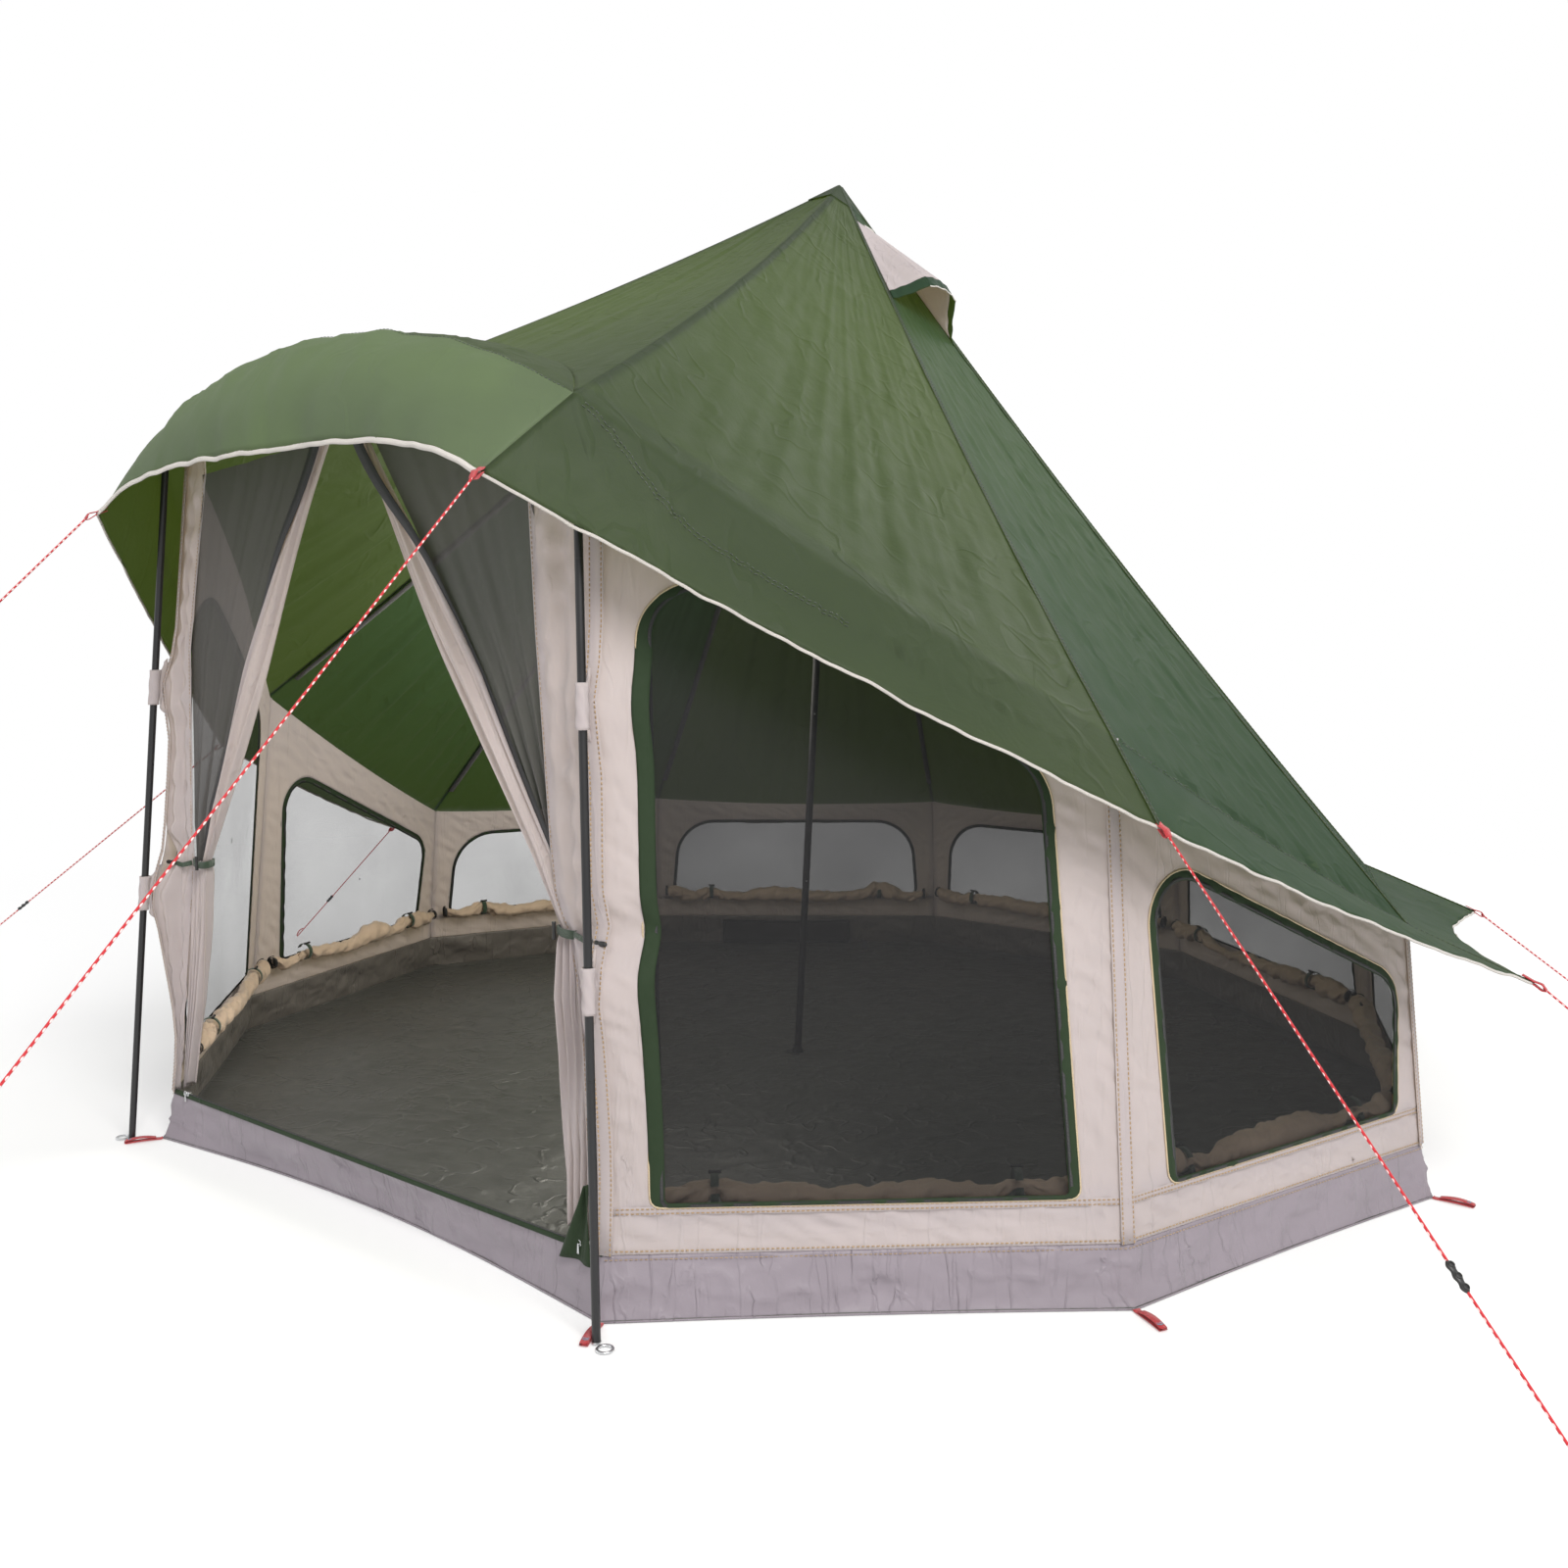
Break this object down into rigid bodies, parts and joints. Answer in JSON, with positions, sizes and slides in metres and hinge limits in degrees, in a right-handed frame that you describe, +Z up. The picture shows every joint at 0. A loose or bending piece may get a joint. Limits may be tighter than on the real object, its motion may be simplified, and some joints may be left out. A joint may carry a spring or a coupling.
{
  "type": "screen house",
  "caption": "Ten-sided pyramid tent with a centre pole, arched porch, tied-back mesh door, mesh windows with rolled flaps, roof vents and guylines.",
  "frame": {"origin": "on the ground in the middle of the floor, under the foot of the centre pole", "axes": "+Z up, the door faces -Y, +X is to the right seen from outside the door"},
  "size_m": [6.343, 6.0264, 3],
  "materials": {
    "black_steel": "black powder coat, satin",
    "bright_steel": "zinc plated",
    "cream_fabric": "fine plain weave, lightly creased",
    "green_fabric": "coated ripstop roof cloth, soft sheen",
    "green_trim": "woven binding",
    "lilac_sheet": "laminated sheet, slight sheen",
    "floor_sheet": "woven laminated sheet, creased",
    "dark_mesh": "fine insect netting",
    "tan_fabric": "rolled fabric, creased",
    "red_webbing": "flat woven webbing",
    "red_cord": "braided cord with pale flecks",
    "black_plastic": "moulded",
    "black_tape": "woven tape"
  },
  "bodies": {
    "tent": {"centre_pole_bottom": "black_steel", "centre_pole_middle": "black_steel", "centre_pole_top": "black_steel", "pole_foot_cup": "black_plastic", "pole_top_cap": "black_plastic", "door_pole_right": "black_steel", "door_pole_left": "black_steel", "porch_arch_pole": "black_steel", "arch_end_sockets": "black_plastic", "door_pole_rings": "bright_steel", "door_pole_pins": "bright_steel", "groundsheet": "floor_sheet", "bathtub_walls": "lilac_sheet", "door_sill_zip": "black_tape", "front_walls": "cream_fabric", "side_walls": "cream_fabric", "low_walls": "cream_fabric", "door_pillars": "cream_fabric", "window_meshes": "dark_mesh", "window_surrounds": "green_trim", "window_flaps": "tan_fabric", "flap_ties": "green_trim", "door_leaf_right": "dark_mesh", "door_leaf_left": "dark_mesh", "door_tiebacks": "green_trim", "roof_front": "green_fabric", "roof_front_sides": "green_fabric", "roof_sides": "green_fabric", "roof_rear": "green_fabric", "roof_peak_patch": "green_fabric", "porch_canopy": "green_fabric", "eave_binding": "cream_fabric", "hip_tapes": "black_tape", "vent_meshes": "dark_mesh", "guylines": "red_cord", "guy_loops": "red_webbing", "peg_loops": "red_webbing", "pole_straps": "cream_fabric", "storage_pocket": "dark_mesh"},
    "pole_button_1": {"pole_button_1": "bright_steel"},
    "pole_button_2": {"pole_button_2": "bright_steel"},
    "pole_button_3": {"pole_button_3": "bright_steel"},
    "pole_button_4": {"pole_button_4": "bright_steel"},
    "zip_slider_right": {"zip_slider_right": "bright_steel"},
    "toggle_right": {"toggle_right": "black_plastic"},
    "vent_hood_right": {"vent_hood_right": "cream_fabric"},
    "vent_strut_right": {"vent_strut_right": "black_plastic"},
    "tensioner_front_right": {"tensioner_front_right": "black_plastic"},
    "tensioner_side_right": {"tensioner_side_right": "black_plastic"},
    "tensioner_mid_right": {"tensioner_mid_right": "black_plastic"},
    "tensioner_rear_right": {"tensioner_rear_right": "black_plastic"},
    "zip_slider_left": {"zip_slider_left": "bright_steel"},
    "toggle_left": {"toggle_left": "black_plastic"},
    "vent_hood_left": {"vent_hood_left": "cream_fabric"},
    "vent_strut_left": {"vent_strut_left": "black_plastic"},
    "tensioner_front_left": {"tensioner_front_left": "black_plastic"},
    "tensioner_side_left": {"tensioner_side_left": "black_plastic"},
    "tensioner_mid_left": {"tensioner_mid_left": "black_plastic"},
    "tensioner_rear_left": {"tensioner_rear_left": "black_plastic"}
  },
  "joints": [
    {"name": "button_1_press", "type": "slide", "parent": "tent", "child": "pole_button_1", "axis": [-0.7071, 0.7071, 0], "range_m": [0, 0.003]},
    {"name": "button_2_press", "type": "slide", "parent": "tent", "child": "pole_button_2", "axis": [-0.7071, 0.7071, 0], "range_m": [0, 0.003]},
    {"name": "button_3_press", "type": "slide", "parent": "tent", "child": "pole_button_3", "axis": [-0.7071, 0.7071, 0], "range_m": [0, 0.003]},
    {"name": "button_4_press", "type": "slide", "parent": "tent", "child": "pole_button_4", "axis": [-0.7071, 0.7071, 0], "range_m": [0, 0.003]},
    {"name": "zip_slide_right", "type": "slide", "parent": "tent", "child": "zip_slider_right", "axis": [-1, 0, 0], "range_m": [0, 0.8]},
    {"name": "toggle_swing_right", "type": "hinge", "parent": "tent", "child": "toggle_right", "pos_m": [0.9, -1.825, 0.83], "axis": [0, 1, 0], "range_deg": [-35, 35]},
    {"name": "vent_fold_right", "type": "hinge", "parent": "tent", "child": "vent_hood_right", "pos_m": [0.25615, 0.04965, 2.81925], "axis": [0.0915, 0.9763, -0.1959], "range_deg": [0, 12]},
    {"name": "strut_fold_right", "type": "hinge", "parent": "vent_hood_right", "child": "vent_strut_right", "pos_m": [0.4901, -0.00815, 2.6405], "axis": [0.0915, 0.9763, -0.1959], "range_deg": [0, 33]},
    {"name": "tension_front_right", "type": "slide", "parent": "tent", "child": "tensioner_front_right", "axis": [0.0564, -0.7055, -0.7065], "range_m": [-0.5, 0.5]},
    {"name": "tension_side_right", "type": "slide", "parent": "tent", "child": "tensioner_side_right", "axis": [0.6854, -0.4102, -0.6016], "range_m": [-0.35, 0.35]},
    {"name": "tension_mid_right", "type": "slide", "parent": "tent", "child": "tensioner_mid_right", "axis": [0.7974, 0.0042, -0.6034], "range_m": [-0.3, 0.25]},
    {"name": "tension_rear_right", "type": "slide", "parent": "tent", "child": "tensioner_rear_right", "axis": [0.6799, 0.415, -0.6045], "range_m": [-0.3, 0.25]},
    {"name": "zip_slide_left", "type": "slide", "parent": "tent", "child": "zip_slider_left", "axis": [1, 0, 0], "range_m": [0, 0.8]},
    {"name": "toggle_swing_left", "type": "hinge", "parent": "tent", "child": "toggle_left", "pos_m": [-0.885, -1.825, 0.83], "axis": [0, 1, 0], "range_deg": [-35, 35]},
    {"name": "vent_fold_left", "type": "hinge", "parent": "tent", "child": "vent_hood_left", "pos_m": [-0.0729, 0.0499, 2.81953], "axis": [0.0727, -0.9761, 0.2046], "range_deg": [0, 12]},
    {"name": "strut_fold_left", "type": "hinge", "parent": "vent_hood_left", "child": "vent_strut_left", "pos_m": [-0.31653, -0.00321, 2.65266], "axis": [0.0727, -0.9761, 0.2046], "range_deg": [0, 33]},
    {"name": "tension_front_left", "type": "slide", "parent": "tent", "child": "tensioner_front_left", "axis": [-0.0564, -0.7055, -0.7065], "range_m": [-0.5, 0.5]},
    {"name": "tension_side_left", "type": "slide", "parent": "tent", "child": "tensioner_side_left", "axis": [-0.6854, -0.4102, -0.6016], "range_m": [-0.35, 0.35]},
    {"name": "tension_mid_left", "type": "slide", "parent": "tent", "child": "tensioner_mid_left", "axis": [-0.7974, 0.0042, -0.6034], "range_m": [-0.3, 0.25]},
    {"name": "tension_rear_left", "type": "slide", "parent": "tent", "child": "tensioner_rear_left", "axis": [-0.6799, 0.415, -0.6045], "range_m": [-0.3, 0.25]}
  ],
  "couplings": [
    {"joint": "strut_fold_right", "follows": "vent_fold_right", "ratio": 2.75},
    {"joint": "strut_fold_left", "follows": "vent_fold_left", "ratio": 2.75}
  ]
}
